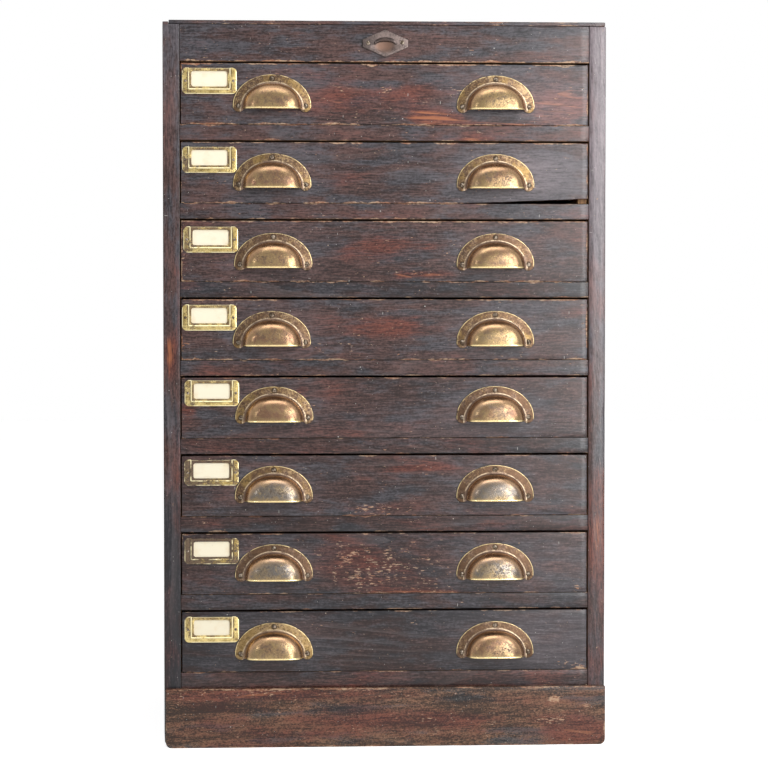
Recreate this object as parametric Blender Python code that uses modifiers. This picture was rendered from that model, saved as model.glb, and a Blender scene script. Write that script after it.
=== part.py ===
"""Tall bank of shallow drawers: a stained pine carcass with brass cup pulls and card frames.

Metres, +Z up. X runs along the front, -Y points out of the front, and the origin is on the floor
under the middle of the whole object. Each drawer hangs on an empty at the bottom middle of its front
face, and slides out along -Y.
"""

import math

import bmesh
import bpy
from mathutils import Matrix, Vector

MM = 0.001

# Carcass
DRAWER_COUNT = 8
WIDTH = 580 * MM
DEPTH = 420 * MM
HEIGHT = 950 * MM
SIDE_THICKNESS = 22 * MM
SIDE_FOOT_RADIUS = 10 * MM
DIVIDER_THICKNESS = 20.3 * MM
TOP_RAIL_HEIGHT = 48 * MM
TOP_RAIL_THICKNESS = 22 * MM
TOP_THICKNESS = 5 * MM
TOP_INSET_LEFT = 8 * MM
TOP_INSET_RIGHT = 1 * MM
LEFT_LIP_DROP = 2 * MM
HOUSING_DEPTH = 7 * MM
HOUSING_STOP = 10 * MM
BACK_BOARD_COUNT = 4
BACK_THICKNESS = 10 * MM
BACK_REBATE_WIDTH = 11 * MM
BACK_FOOT_GAP = 15 * MM
KICKER_WIDTH = 20 * MM
KICKER_HEIGHT = 25 * MM
PLINTH_HEIGHT = 77.5 * MM
PLINTH_THICKNESS = 11 * MM
PLINTH_INSET_LEFT = 2 * MM
PLINTH_CORNER_RADIUS = 8 * MM

# Drawers
DRAWER_SIDE_GAP = 1.5 * MM
DRAWER_TOP_GAP = 2.5 * MM
FRONT_THICKNESS = 20 * MM
FRONT_LAP = 8 * MM
TRAY_WALL = 12 * MM
TRAY_DROP = 6 * MM
TRAY_BACK_DROP = 4 * MM
TRAY_TAIL = 10 * MM
BOTTOM_THICKNESS = 6 * MM
BOTTOM_RISE = 8 * MM
GROOVE_DEPTH = 6 * MM
BROKEN_DRAWER = 2
BROKEN_LENGTH = 168 * MM
BROKEN_RISE = 6.5 * MM

# Cup pulls
PULL_HALF_WIDTH = 51 * MM
PULL_ARCH_HEIGHT = 40.5 * MM
PULL_TOP_BAND = 13.5 * MM
PULL_SIDE_BAND = 15.5 * MM
EAR_DROP = 8.3 * MM
FLANGE_THICKNESS = 2 * MM
CUP_PROJECTION = 27 * MM
CUP_WALL = 2 * MM
CUP_TOP_LAP = 1.2 * MM
CUP_SIDE_LAP = 2.5 * MM
CUP_LIP_DROP = 5.2 * MM
CUP_SQUARENESS = 3
CUP_STEPS = 10
CUP_PROFILE_STEPS = 5
PULL_SCREW_RADIUS = 2 * MM
PULL_TOP_SCREW_INSET = 5 * MM

# Card frames
CARD_FRAME_WIDTH = 71 * MM
CARD_FRAME_HEIGHT = 34 * MM
CARD_FRAME_CORNER = 4.5 * MM
CARD_FRAME_SHEET = 1.2 * MM
CARD_FRAME_INSET = 2.7 * MM
CARD_FRAME_DROP = 5.7 * MM
CARD_POCKET_MARGIN = 9 * MM
CARD_POCKET_FLOOR = 6.5 * MM
CARD_SLOT = 1.4 * MM
WINDOW_BORDER_SIDE = 3 * MM
WINDOW_BORDER_TOP = 4.5 * MM
WINDOW_BORDER_FLOOR = 3 * MM
WINDOW_CORNER = 3 * MM
CARD_SCREW_RADIUS = 1.4 * MM
PULL_OVERLAP = 5 * MM
PULL_CLEARANCE = 1.6 * MM
RIGHT_PULL_INSET = 121.8 * MM

# How far each drawer's fittings were screwed off their line, from the top drawer down
# Shifts to the right are for the left pull and the card frame, drops for all three fittings
FITTING_SHIFTS = [-1 * MM, -1 * MM, 0.3 * MM, -1.7 * MM, 1.4 * MM, 0.6 * MM, 0.7 * MM, 0.6 * MM]
FITTING_DROPS = [0.4 * MM, 0.4 * MM, 1.8 * MM, 1.1 * MM, -2.6 * MM, -1 * MM, -0.4 * MM, 0.2 * MM]

# Lozenge thumb plate on the top rail
LOZENGE_WIDTH = 60 * MM
LOZENGE_HEIGHT = 36 * MM
LOZENGE_END_HEIGHT = 10 * MM
LOZENGE_THICKNESS = 2.5 * MM
LOZENGE_SCREW_INSET = 6 * MM
LOZENGE_SCREW_RADIUS = 1.6 * MM
DISH_HALF_WIDTH = 15 * MM
DISH_HALF_HEIGHT = 7.5 * MM
DISH_DEPTH = 1.6 * MM
BROW_RADIUS = 2.4 * MM
BROW_RISE = 5 * MM

# Pieces that touch on the real object stand this far apart
SEAT_GAP = 0.3 * MM
CUT_MARGIN = 5 * MM

# Places that follow from the sizes above
OPENING_WIDTH = WIDTH - 2 * SIDE_THICKNESS
SIDE_HEIGHT = HEIGHT - TOP_THICKNESS - SEAT_GAP
RAIL_FOOT = SIDE_HEIGHT - TOP_RAIL_HEIGHT
PITCH = (RAIL_FOOT - PLINTH_HEIGHT) / DRAWER_COUNT
OPENING_HEIGHT = PITCH - DIVIDER_THICKNESS
FRONT_REACH = SEAT_GAP + max(CUP_PROJECTION, PLINTH_THICKNESS)
FRONT_Y = (FRONT_REACH - DEPTH) / 2
BACK_Y = FRONT_Y + DEPTH
BACK_INNER_Y = BACK_Y - BACK_THICKNESS
RAIL_BACK_Y = FRONT_Y + TOP_RAIL_THICKNESS

FRONT_WIDTH = OPENING_WIDTH - 2 * DRAWER_SIDE_GAP
FRONT_HEIGHT = OPENING_HEIGHT - SEAT_GAP - DRAWER_TOP_GAP
TRAY_HEIGHT = FRONT_HEIGHT - TRAY_DROP
TRAY_LENGTH = BACK_INNER_Y - FRONT_Y - SEAT_GAP

EAR_RADIUS = PULL_SIDE_BAND / 2
CARD_FRAME_X = -FRONT_WIDTH / 2 + CARD_FRAME_INSET + CARD_FRAME_WIDTH / 2
CARD_FRAME_FOOT = FRONT_HEIGHT - CARD_FRAME_DROP - CARD_FRAME_HEIGHT
LEFT_PULL_X = CARD_FRAME_X + CARD_FRAME_WIDTH / 2 - PULL_OVERLAP + PULL_HALF_WIDTH
RIGHT_PULL_X = FRONT_WIDTH / 2 - RIGHT_PULL_INSET

# Local XY of a flat outline turned to face the front: its +Z then points out of the front
FACE_FRONT = Matrix.Rotation(math.radians(90), 4, "X")
SHARP_ANGLE = math.radians(40)


def clear_scene():
    for obj in list(bpy.data.objects):
        bpy.data.objects.remove(obj)


def new_collection(name):
    collection = bpy.data.collections.new(name)
    bpy.context.scene.collection.children.link(collection)
    return collection


def new_material(name, colour, roughness, metallic=0.0):
    material = bpy.data.materials.new(name)
    material.use_nodes = True
    shader = material.node_tree.nodes["Principled BSDF"]
    shader.inputs["Base Color"].default_value = (*colour, 1.0)
    shader.inputs["Roughness"].default_value = roughness
    shader.inputs["Metallic"].default_value = metallic
    return material


def new_empty(name, location=(0, 0, 0)):
    empty = bpy.data.objects.new(name, None)
    empty.location = location
    parts.objects.link(empty)
    return empty


def place(name, data, material, parent, location=(0, 0, 0)):
    """A finished sub-part: its mesh or curve, its material and where it sits on its parent."""
    obj = bpy.data.objects.new(name, data)
    obj.location = location
    obj.parent = parent
    if not data.materials:
        data.materials.append(material)
    if isinstance(data, bpy.types.Mesh):
        data.shade_smooth()
        data.set_sharp_from_angle(angle=SHARP_ANGLE)
    parts.objects.link(obj)


def hidden(name, data):
    """A cutter or a shape that is joined into another one."""
    obj = bpy.data.objects.new(name, data)
    obj.hide_render = True
    obj.display_type = "WIRE"
    cutters.objects.link(obj)
    return obj


def boxes_mesh(name, *corner_pairs):
    """Boxes that don't touch each other, each from its lowest to its highest corner."""
    bm = bmesh.new()
    for low, high in corner_pairs:
        low, high = Vector(low), Vector(high)
        scale = Matrix.Diagonal((*(high - low), 1))
        bmesh.ops.create_cube(bm, size=1, matrix=Matrix.Translation((low + high) / 2) @ scale)
    mesh = bpy.data.meshes.new(name)
    bm.to_mesh(mesh)
    bm.free()
    return mesh


def prism_curve(name, outlines, thickness):
    """A flat outline, with any holes after it, extruded evenly about its plane."""
    curve = bpy.data.curves.new(name, "CURVE")
    curve.dimensions = "2D"
    curve.fill_mode = "BOTH"
    curve.extrude = thickness / 2
    for points in outlines:
        spline = curve.splines.new("POLY")
        spline.points.add(len(points) - 1)
        for point, (x, y) in zip(spline.points, points):
            point.co = (x, y, 0, 1)
        spline.use_cyclic_u = True
    return curve


def baked(obj, matrix=Matrix.Identity(4)):
    """The evaluated mesh of a helper object, welded and moved by the matrix; the helper is removed."""
    bpy.context.view_layer.update()
    evaluated = obj.evaluated_get(bpy.context.evaluated_depsgraph_get())
    mesh = bpy.data.meshes.new_from_object(evaluated)
    mesh.transform(matrix)
    bm = bmesh.new()
    bm.from_mesh(mesh)
    bmesh.ops.remove_doubles(bm, verts=bm.verts, dist=0.01 * MM)
    bm.to_mesh(mesh)
    bm.free()
    mesh.name = obj.name
    bpy.data.objects.remove(obj)
    return mesh


def combined(name, base, *steps):
    """base with each (operation, mesh) of steps applied to it in turn."""
    obj = hidden(name, base)
    tools = []
    for number, (operation, mesh) in enumerate(steps):
        tool = hidden(f"{name}_tool_{number}", mesh)
        modifier = obj.modifiers.new(tool.name, "BOOLEAN")
        modifier.operation = operation
        modifier.object = tool
        tools.append(tool)
    mesh = baked(obj)
    for tool in tools:
        bpy.data.objects.remove(tool)
    return mesh


def arc(centre, radius_x, radius_y, start, end, steps):
    """Points of an elliptic arc from start to end, in degrees."""
    angles = [math.radians(start + (end - start) * i / steps) for i in range(steps + 1)]
    return [(centre[0] + radius_x * math.cos(a), centre[1] + radius_y * math.sin(a)) for a in angles]


def circle(centre, radius, sides=6):
    return arc(centre, radius, radius, 90, 450, sides)[:-1]


def rounded_rectangle(left, foot, right, top, radius, steps=2):
    corners = ((right, top, 0), (left, top, 90), (left, foot, 180), (right, foot, 270))
    points = []
    for x, y, start in corners:
        centre = (x - math.copysign(radius, x - (left + right) / 2),
                  y - math.copysign(radius, y - (foot + top) / 2))
        points += arc(centre, radius, radius, start, start + 90, steps)
    return points


def front_plate(name, outlines, thickness):
    """A baked plate that stands in front of y = 0, with its back on that plane."""
    curve_object = hidden(name, prism_curve(name, outlines, thickness))
    return baked(curve_object, Matrix.Translation((0, -thickness / 2, 0)) @ FACE_FRONT)


# Carcass pieces


def housed_board(name, foot, height, back_y):
    """A board between the sides, flush in front, whose ends run into stopped housings behind that."""
    narrow = OPENING_WIDTH / 2 - SEAT_GAP
    wide = OPENING_WIDTH / 2 + HOUSING_DEPTH - SEAT_GAP
    notch_y = FRONT_Y + HOUSING_STOP + SEAT_GAP
    right_half = [(narrow, FRONT_Y), (narrow, notch_y), (wide, notch_y), (wide, back_y)]
    left_half = [(-x, y) for x, y in reversed(right_half)]
    board = prism_curve(name, [right_half + left_half], height)
    place(name, board, stained_pine, carcass, (0, 0, foot + height / 2))


def housing_box(foot, height, back_y):
    """The cut that a housed board needs in the right-hand side."""
    inner_face = OPENING_WIDTH / 2
    return ((inner_face - CUT_MARGIN, FRONT_Y + HOUSING_STOP, foot - SEAT_GAP),
            (inner_face + HOUSING_DEPTH, back_y + SEAT_GAP, foot + height + SEAT_GAP))


def shelf_foot(level):
    """Underside of the bottom board (level 0) or of a divider above it."""
    return PLINTH_HEIGHT + level * PITCH


def side_board_mesh():
    """The right-hand side before its cuts, with its outer edge rounded off at the floor."""
    inner, outer, radius = OPENING_WIDTH / 2, WIDTH / 2, SIDE_FOOT_RADIUS
    outline = [(outer, SIDE_HEIGHT), (inner, SIDE_HEIGHT), (inner, 0)]
    outline += arc((outer - radius, radius), radius, radius, 270, 360, 4)
    board = hidden("side_board", prism_curve("side_board", [outline], DEPTH))
    return baked(board, Matrix.Translation((0, (FRONT_Y + BACK_Y) / 2, 0)) @ FACE_FRONT)


def make_sides():
    housings = [housing_box(shelf_foot(level), DIVIDER_THICKNESS, BACK_INNER_Y)
                for level in range(DRAWER_COUNT)]
    housings.append(housing_box(RAIL_FOOT, TOP_RAIL_HEIGHT + CUT_MARGIN, RAIL_BACK_Y))
    rebate = ((OPENING_WIDTH / 2 - CUT_MARGIN, BACK_INNER_Y - SEAT_GAP, -CUT_MARGIN),
              (OPENING_WIDTH / 2 + BACK_REBATE_WIDTH, BACK_Y + CUT_MARGIN, SIDE_HEIGHT + CUT_MARGIN))
    right = combined("right_side", side_board_mesh(),
                     ("DIFFERENCE", boxes_mesh("rebate", rebate)),
                     ("DIFFERENCE", boxes_mesh("housings", *housings)))
    mirrored = right.copy()
    mirrored.transform(Matrix.Diagonal((-1, 1, 1, 1)))
    mirrored.flip_normals()
    lip = ((-WIDTH / 2, FRONT_Y, SIDE_HEIGHT - CUT_MARGIN),
           (-WIDTH / 2 + TOP_INSET_LEFT - SEAT_GAP, BACK_Y, HEIGHT - LEFT_LIP_DROP))
    left = combined("left_side", mirrored, ("UNION", boxes_mesh("lip", lip)))
    place("right_side", right, stained_pine, carcass)
    place("left_side", left, stained_pine, carcass)


def make_shelves():
    back_y = BACK_INNER_Y - SEAT_GAP
    housed_board("bottom_board", shelf_foot(0), DIVIDER_THICKNESS, back_y)
    for level in range(1, DRAWER_COUNT):
        housed_board(f"divider_{DRAWER_COUNT - level}", shelf_foot(level), DIVIDER_THICKNESS, back_y)
    housed_board("top_rail", RAIL_FOOT, TOP_RAIL_HEIGHT, RAIL_BACK_Y)


def make_top_board():
    foot = SIDE_HEIGHT + SEAT_GAP
    low = (-WIDTH / 2 + TOP_INSET_LEFT, FRONT_Y, foot)
    high = (WIDTH / 2 - TOP_INSET_RIGHT, BACK_Y, foot + TOP_THICKNESS)
    place("top_board", boxes_mesh("top_board", (low, high)), stained_pine, carcass)


def make_kickers():
    """Strips above the top drawer's sides that keep it level when it is pulled out."""
    outer = OPENING_WIDTH / 2 - SEAT_GAP
    for name, low_x in (("kicker_left", -outer), ("kicker_right", outer - KICKER_WIDTH)):
        low = (low_x, RAIL_BACK_Y + SEAT_GAP, RAIL_FOOT)
        high = (low_x + KICKER_WIDTH, BACK_INNER_Y - SEAT_GAP, RAIL_FOOT + KICKER_HEIGHT)
        place(name, boxes_mesh(name, (low, high)), raw_pine, carcass)


def make_back_boards():
    half = OPENING_WIDTH / 2 + BACK_REBATE_WIDTH - SEAT_GAP
    pitch = (2 * half + SEAT_GAP) / BACK_BOARD_COUNT
    for number in range(BACK_BOARD_COUNT):
        left = -half + number * pitch
        name = f"back_board_{number + 1}"
        low = (left, BACK_INNER_Y, BACK_FOOT_GAP)
        high = (left + pitch - SEAT_GAP, BACK_Y, SIDE_HEIGHT)
        place(name, boxes_mesh(name, (low, high)), raw_pine, carcass)


def make_plinth():
    left, right = -WIDTH / 2 + PLINTH_INSET_LEFT, WIDTH / 2
    radius = PLINTH_CORNER_RADIUS
    outline = [(right, PLINTH_HEIGHT), (left, PLINTH_HEIGHT)]
    outline += arc((left + radius, radius), radius, radius, 180, 270, 4)
    outline += arc((right - radius, radius), radius, radius, 270, 360, 4)
    plate = front_plate("plinth_front", [outline], PLINTH_THICKNESS)
    place("plinth_front", plate, stained_pine, carcass, (0, FRONT_Y - SEAT_GAP, 0))


def make_thumb_plate():
    """Lozenge plate with a dished oval under a raised brow."""
    half, end = LOZENGE_WIDTH / 2, LOZENGE_END_HEIGHT / 2
    outline = [(half, -end), (half, end), (0, LOZENGE_HEIGHT / 2),
               (-half, end), (-half, -end), (0, -LOZENGE_HEIGHT / 2)]
    screws = [circle((side * (half - LOZENGE_SCREW_INSET), 0), LOZENGE_SCREW_RADIUS) for side in (-1, 1)]
    plate = front_plate("thumb_plate", [outline, *screws], LOZENGE_THICKNESS)
    bm = bmesh.new()
    bmesh.ops.create_uvsphere(bm, u_segments=20, v_segments=10, radius=1)
    dish = bpy.data.meshes.new("dish")
    bm.to_mesh(dish)
    bm.free()
    dish.transform(Matrix.Translation((0, -LOZENGE_THICKNESS, 0))
                   @ Matrix.Diagonal((DISH_HALF_WIDTH, DISH_DEPTH, DISH_HALF_HEIGHT, 1)))
    mesh = combined("thumb_plate", plate, ("DIFFERENCE", dish), ("UNION", brow_mesh()))
    centre = (0, FRONT_Y - SEAT_GAP, RAIL_FOOT + TOP_RAIL_HEIGHT / 2)
    place("thumb_plate", mesh, aged_brass, carcass, centre)


def brow_mesh():
    """A bead bent along the upper rim of the dish, with its ends sunk in the plate."""
    curve = bpy.data.curves.new("brow", "CURVE")
    curve.dimensions = "3D"
    curve.bevel_depth = BROW_RADIUS
    curve.bevel_resolution = 1
    curve.use_fill_caps = True
    route = arc((0, 0), DISH_HALF_WIDTH, BROW_RISE + BROW_RADIUS, 0, 180, 10)
    spline = curve.splines.new("POLY")
    spline.points.add(len(route) - 1)
    for point, (x, z) in zip(spline.points, route):
        point.co = (x, -LOZENGE_THICKNESS, z, 1)
    return baked(hidden("brow", curve))


# Drawer pieces, in the frame of the drawer's empty


def front_mesh(broken):
    """A drawer front with end laps for the tray's sides and a groove for its bottom."""
    half = FRONT_WIDTH / 2
    lap_x = half - TRAY_WALL - SEAT_GAP
    behind = FRONT_THICKNESS + CUT_MARGIN
    above = FRONT_HEIGHT + CUT_MARGIN
    laps = [((low, FRONT_LAP, -CUT_MARGIN), (low + half - lap_x + CUT_MARGIN, behind, above))
            for low in (-half - CUT_MARGIN, lap_x)]
    groove = ((-half - CUT_MARGIN, FRONT_THICKNESS - GROOVE_DEPTH, BOTTOM_RISE - SEAT_GAP),
              (half + CUT_MARGIN, behind, BOTTOM_RISE + BOTTOM_THICKNESS + SEAT_GAP))
    steps = [("DIFFERENCE", boxes_mesh("laps", *laps)), ("DIFFERENCE", boxes_mesh("groove", groove))]
    if broken:
        steps.append(("DIFFERENCE", broken_edge_mesh()))
    board = ((-half, 0, 0), (half, FRONT_THICKNESS, FRONT_HEIGHT))
    return combined("drawer_front", boxes_mesh("drawer_front", board), *steps)


def broken_edge_mesh():
    """The sliver that has split away along the lower right edge of one drawer front."""
    right = FRONT_WIDTH / 2 + CUT_MARGIN
    rise = BROKEN_RISE * (1 + CUT_MARGIN / BROKEN_LENGTH)
    outline = [(FRONT_WIDTH / 2 - BROKEN_LENGTH, 0), (right, rise), (right, -CUT_MARGIN),
               (FRONT_WIDTH / 2 - BROKEN_LENGTH, -CUT_MARGIN)]
    wedge = hidden("broken_edge", prism_curve("broken_edge", [outline], 2 * FRONT_THICKNESS + CUT_MARGIN))
    return baked(wedge, FACE_FRONT)


def tray_mesh():
    """Both sides, the back and the bottom of a drawer, glued and nailed into one tray."""
    half = FRONT_WIDTH / 2
    inner = half - TRAY_WALL
    tongue = inner + GROOVE_DEPTH
    back_rear = TRAY_LENGTH - TRAY_TAIL
    back_front = back_rear - TRAY_WALL
    side_front = FRONT_LAP + SEAT_GAP
    left = ((-half, side_front, 0), (-inner, TRAY_LENGTH, TRAY_HEIGHT))
    right = ((inner, side_front, 0), (half, TRAY_LENGTH, TRAY_HEIGHT))
    bottom = ((-tongue, FRONT_THICKNESS - GROOVE_DEPTH + SEAT_GAP, BOTTOM_RISE),
              (tongue, back_rear - TRAY_WALL / 4, BOTTOM_RISE + BOTTOM_THICKNESS))
    back = ((-tongue, back_front, BOTTOM_RISE + BOTTOM_THICKNESS / 2),
            (tongue, back_rear, TRAY_HEIGHT - TRAY_BACK_DROP))
    return combined("tray", boxes_mesh("tray", left, right),
                    ("UNION", boxes_mesh("tray_bottom", bottom)), ("UNION", boxes_mesh("tray_back", back)))


def flange_outline():
    """The crescent of a cup pull: outer arch, ear, inner arch, ear. The ears' screws lie on z = 0."""
    ear_x = PULL_HALF_WIDTH - EAR_RADIUS
    ear_z = EAR_RADIUS - EAR_DROP
    outer = arc((0, 0), PULL_HALF_WIDTH, PULL_ARCH_HEIGHT, 0, 180, 14)
    left_ear = arc((-ear_x, ear_z), EAR_RADIUS, EAR_RADIUS, 180, 360, 5)
    inner = arc((0, 0), PULL_HALF_WIDTH - PULL_SIDE_BAND, PULL_ARCH_HEIGHT - PULL_TOP_BAND, 180, 0, 10)
    right_ear = arc((ear_x, ear_z), EAR_RADIUS, EAR_RADIUS, 180, 360, 5)
    return outer + left_ear + inner + right_ear


def cup_mesh():
    """The hood of a cup pull: a square-shouldered profile turned half a circle, then flattened."""
    half_width = PULL_HALF_WIDTH - PULL_SIDE_BAND + CUP_SIDE_LAP
    height = PULL_ARCH_HEIGHT - PULL_TOP_BAND + CUP_TOP_LAP + CUP_LIP_DROP
    foot_y = FLANGE_THICKNESS / 4
    profile = []
    for step in range(CUP_PROFILE_STEPS + 1):
        angle = math.radians(90 * step / CUP_PROFILE_STEPS)
        radius = half_width * math.cos(angle) ** (2 / CUP_SQUARENESS)
        rise = (CUP_PROJECTION - foot_y) * math.sin(angle) ** (2 / CUP_SQUARENESS)
        profile.append((radius if step < CUP_PROFILE_STEPS else 0, -foot_y - rise, 0))
    mesh = bpy.data.meshes.new("cup_profile")
    mesh.from_pydata(profile, [(i, i + 1) for i in range(CUP_PROFILE_STEPS)], [])
    turned = hidden("cup", mesh)
    screw = turned.modifiers.new("half_turn", "SCREW")
    screw.axis = "Y"
    screw.angle = math.radians(-180)
    screw.steps = screw.render_steps = CUP_STEPS
    screw.use_merge_vertices = True
    screw.merge_threshold = 0.01 * MM
    flatten = Matrix.Translation((0, 0, -CUP_LIP_DROP)) @ Matrix.Diagonal((1, 1, height / half_width, 1))
    shell = hidden("cup_shell", baked(turned, flatten))
    wall = shell.modifiers.new("wall", "SOLIDIFY")
    wall.thickness = CUP_WALL
    wall.offset = 1
    return baked(shell)


def pull_mesh():
    ear_x = PULL_HALF_WIDTH - EAR_RADIUS
    screws = [(-ear_x, 0), (ear_x, 0), (0, PULL_ARCH_HEIGHT - PULL_TOP_SCREW_INSET)]
    holes = [circle(centre, PULL_SCREW_RADIUS) for centre in screws]
    flange = front_plate("flange", [flange_outline(), *holes], FLANGE_THICKNESS)
    return combined("cup_pull", flange, ("UNION", cup_mesh()))


def card_frame_outline():
    half = CARD_FRAME_WIDTH / 2
    return rounded_rectangle(-half, 0, half, CARD_FRAME_HEIGHT, CARD_FRAME_CORNER)


def pull_height():
    """Height of the pulls' ears on the front: the left pull's arch just clears the card frame's corner."""
    rooms = []
    for x, z in card_frame_outline():
        across = (x + CARD_FRAME_X - LEFT_PULL_X) / PULL_HALF_WIDTH
        if -1 < across < 1:
            rooms.append(z + CARD_FRAME_FOOT - PULL_ARCH_HEIGHT * math.sqrt(1 - across ** 2))
    return min(rooms) - PULL_CLEARANCE


def card_frame_mesh():
    """A stamped frame: a flat rim, a raised pocket open at the top for the card, and a window."""
    half, height = CARD_FRAME_WIDTH / 2, CARD_FRAME_HEIGHT
    pocket_half = half - CARD_POCKET_MARGIN
    raised = CARD_FRAME_SHEET + CARD_SLOT
    screw_x = half - CARD_POCKET_MARGIN / 2
    screws = [circle((side * screw_x, height / 2), CARD_SCREW_RADIUS) for side in (-1, 1)]
    rim = front_plate("card_rim", [card_frame_outline(), *screws], CARD_FRAME_SHEET)
    cover_half = pocket_half + CARD_FRAME_SHEET
    cover = ((-cover_half, -raised, CARD_POCKET_FLOOR - CARD_FRAME_SHEET),
             (cover_half, -CARD_FRAME_SHEET / 2, height - CARD_FRAME_SHEET / 2))
    slot = ((-pocket_half, -CARD_SLOT, CARD_POCKET_FLOOR), (pocket_half, CUT_MARGIN, height + CUT_MARGIN))
    window = hidden("window", prism_curve("window", [rounded_rectangle(
        -pocket_half + WINDOW_BORDER_SIDE, CARD_POCKET_FLOOR + WINDOW_BORDER_FLOOR,
        pocket_half - WINDOW_BORDER_SIDE, height - WINDOW_BORDER_TOP, WINDOW_CORNER)], 4 * raised))
    return combined("card_frame", rim, ("UNION", boxes_mesh("cover", cover)),
                    ("DIFFERENCE", boxes_mesh("slot", slot)), ("DIFFERENCE", baked(window, FACE_FRONT)))


def make_drawers():
    whole_front, broken_front = front_mesh(broken=False), front_mesh(broken=True)
    tray, pull, card_frame = tray_mesh(), pull_mesh(), card_frame_mesh()
    for number in range(1, DRAWER_COUNT + 1):
        shelf_top = shelf_foot(DRAWER_COUNT - number) + DIVIDER_THICKNESS
        name = f"drawer_{number}"
        drawer = new_empty(name, (0, FRONT_Y, shelf_top + SEAT_GAP))
        front = broken_front if number == BROKEN_DRAWER else whole_front
        place(f"{name}_front", front, stained_pine, drawer)
        place(f"{name}_tray", tray, raw_pine, drawer)
        shift = FITTING_SHIFTS[(number - 1) % len(FITTING_SHIFTS)]
        drop = FITTING_DROPS[(number - 1) % len(FITTING_DROPS)]
        fittings = (("pull_left", pull, LEFT_PULL_X + shift, pull_height()),
                    ("pull_right", pull, RIGHT_PULL_X, pull_height()),
                    ("card_frame", card_frame, CARD_FRAME_X + shift, CARD_FRAME_FOOT))
        for fitting, mesh, x, z in fittings:
            place(f"{name}_{fitting}", mesh, aged_brass, drawer, (x, -SEAT_GAP, z - drop))


clear_scene()
parts = new_collection("drawer_cabinet")
cutters = new_collection("cutters")
stained_pine = new_material("stained_pine", (0.045, 0.030, 0.026), 0.45)
raw_pine = new_material("raw_pine", (0.30, 0.17, 0.08), 0.7)
aged_brass = new_material("aged_brass", (0.45, 0.31, 0.13), 0.38, metallic=1.0)
carcass = new_empty("carcass")
make_sides()
make_shelves()
make_top_board()
make_kickers()
make_back_boards()
make_plinth()
make_thumb_plate()
make_drawers()
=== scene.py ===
"""Looks for the bank of eight drawers: worn stained pine, aged brass cup pulls and card frames."""

import math
import random

import bmesh
import bpy
import numpy as np
from mathutils import Matrix, Vector, noise


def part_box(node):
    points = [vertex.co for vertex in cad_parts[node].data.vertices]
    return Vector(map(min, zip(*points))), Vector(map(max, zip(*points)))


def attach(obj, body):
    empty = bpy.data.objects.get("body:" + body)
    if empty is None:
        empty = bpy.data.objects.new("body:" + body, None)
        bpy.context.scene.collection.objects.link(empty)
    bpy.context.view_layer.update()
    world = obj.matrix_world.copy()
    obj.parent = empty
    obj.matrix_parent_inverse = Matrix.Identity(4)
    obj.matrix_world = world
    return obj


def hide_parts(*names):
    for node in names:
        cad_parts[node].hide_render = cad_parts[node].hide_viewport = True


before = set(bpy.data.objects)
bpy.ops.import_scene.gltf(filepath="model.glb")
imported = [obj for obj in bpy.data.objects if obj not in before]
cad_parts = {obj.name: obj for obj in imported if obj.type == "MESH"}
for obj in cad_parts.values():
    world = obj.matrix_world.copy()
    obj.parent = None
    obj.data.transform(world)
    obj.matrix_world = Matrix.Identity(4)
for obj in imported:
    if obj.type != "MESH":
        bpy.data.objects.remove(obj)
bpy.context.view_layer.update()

MM = 0.001
X, Y, Z = 0, 1, 2
DRAWERS = range(1, 9)

# Gap left between boards that sit against each other
SEAT = 0.3 * MM
# How far the bottom board reaches down behind the plinth, so no light passes over its chipped top edge
PLINTH_LAP = 4 * MM
# Width of the rebates at the ends of a drawer front, which the tray's sides fill
LAP_WIDTH = 12.3 * MM
# The drawer whose front is split off at its lower right, with the length and rise of the split
BROKEN_DRAWER = 2
BREAK_LENGTH = 168 * MM
BREAK_RISE = 6.5 * MM
# Steps in the rounding of a board's edges
ROUND_STEPS = 3

# Cup pull, in millimetres from the middle of its flange's foot line, PULL_DROP above its lowest point
PULL_DROP = 8.3
FLANGE_HALF = 51.0
FLANGE_RISE = 40.5
HOOD_HALF = 38.0
HOOD_RISE = 33.4
HOOD_FOOT = -5.2
HOOD_REACH = 26.6
EAR_SCREW_X = 43.6
EAR_SCREW_Z = -0.3
CROWN_SCREW_Z = 35.2
PULL_SCREW_Y = -1.75

# Card frame, in millimetres from the middle of its foot, and the card
FRAME_HALF = 35.5
FRAME_RISE = 34.0
FRAME_CORNER = 6.0
FRAME_SCREW_X = 31.2
FRAME_SCREW_Y = -1.15
FRAME_SCREW_Z = 17
POCKET_HALF = 26.5
POCKET_FOOT = 6.5
CARD_HALF = 26.0
CARD_RISE = 13.0
CARD_Y = -0.7
CARD_Z = 19.5

# Points of a helper mesh that are closer than this become one
WELD = 0.000005

# Camera of the photograph
CAMERA_PLACE = (-0.1605, -3.2176, 0.5716)
CAMERA_PITCH = 88.190
CAMERA_YAW = -3.009
CAMERA_LENS = 108.16
CAMERA_SENSOR = 36

# Studio: the floor, what the white surroundings give as a lamp, and each lamp's place, aim, size and power
FLOOR_COLOUR = (0.80, 0.80, 0.80)
FLOOR_GLOW = 0.84
WORLD_LIGHT = 0.12
LAMPS = {
    "key": ((1.00, -1.4, 1.3), (0, -0.2, 0.5), (0.6, 1.0), 13.5),
    "overhead": ((0.0, -1.0, 2.6), (0, -0.2, 0.5), (1.4, 0.8), 11),
    "window": ((0.82, -2.4, 0.92), (0.1, -0.2, 0.85), (0.44, 1.76), 32),
    "fill": ((-1.3, -2.0, 1.5), (0, -0.2, 0.6), (0.25, 0.4), 3.2),
}

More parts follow.
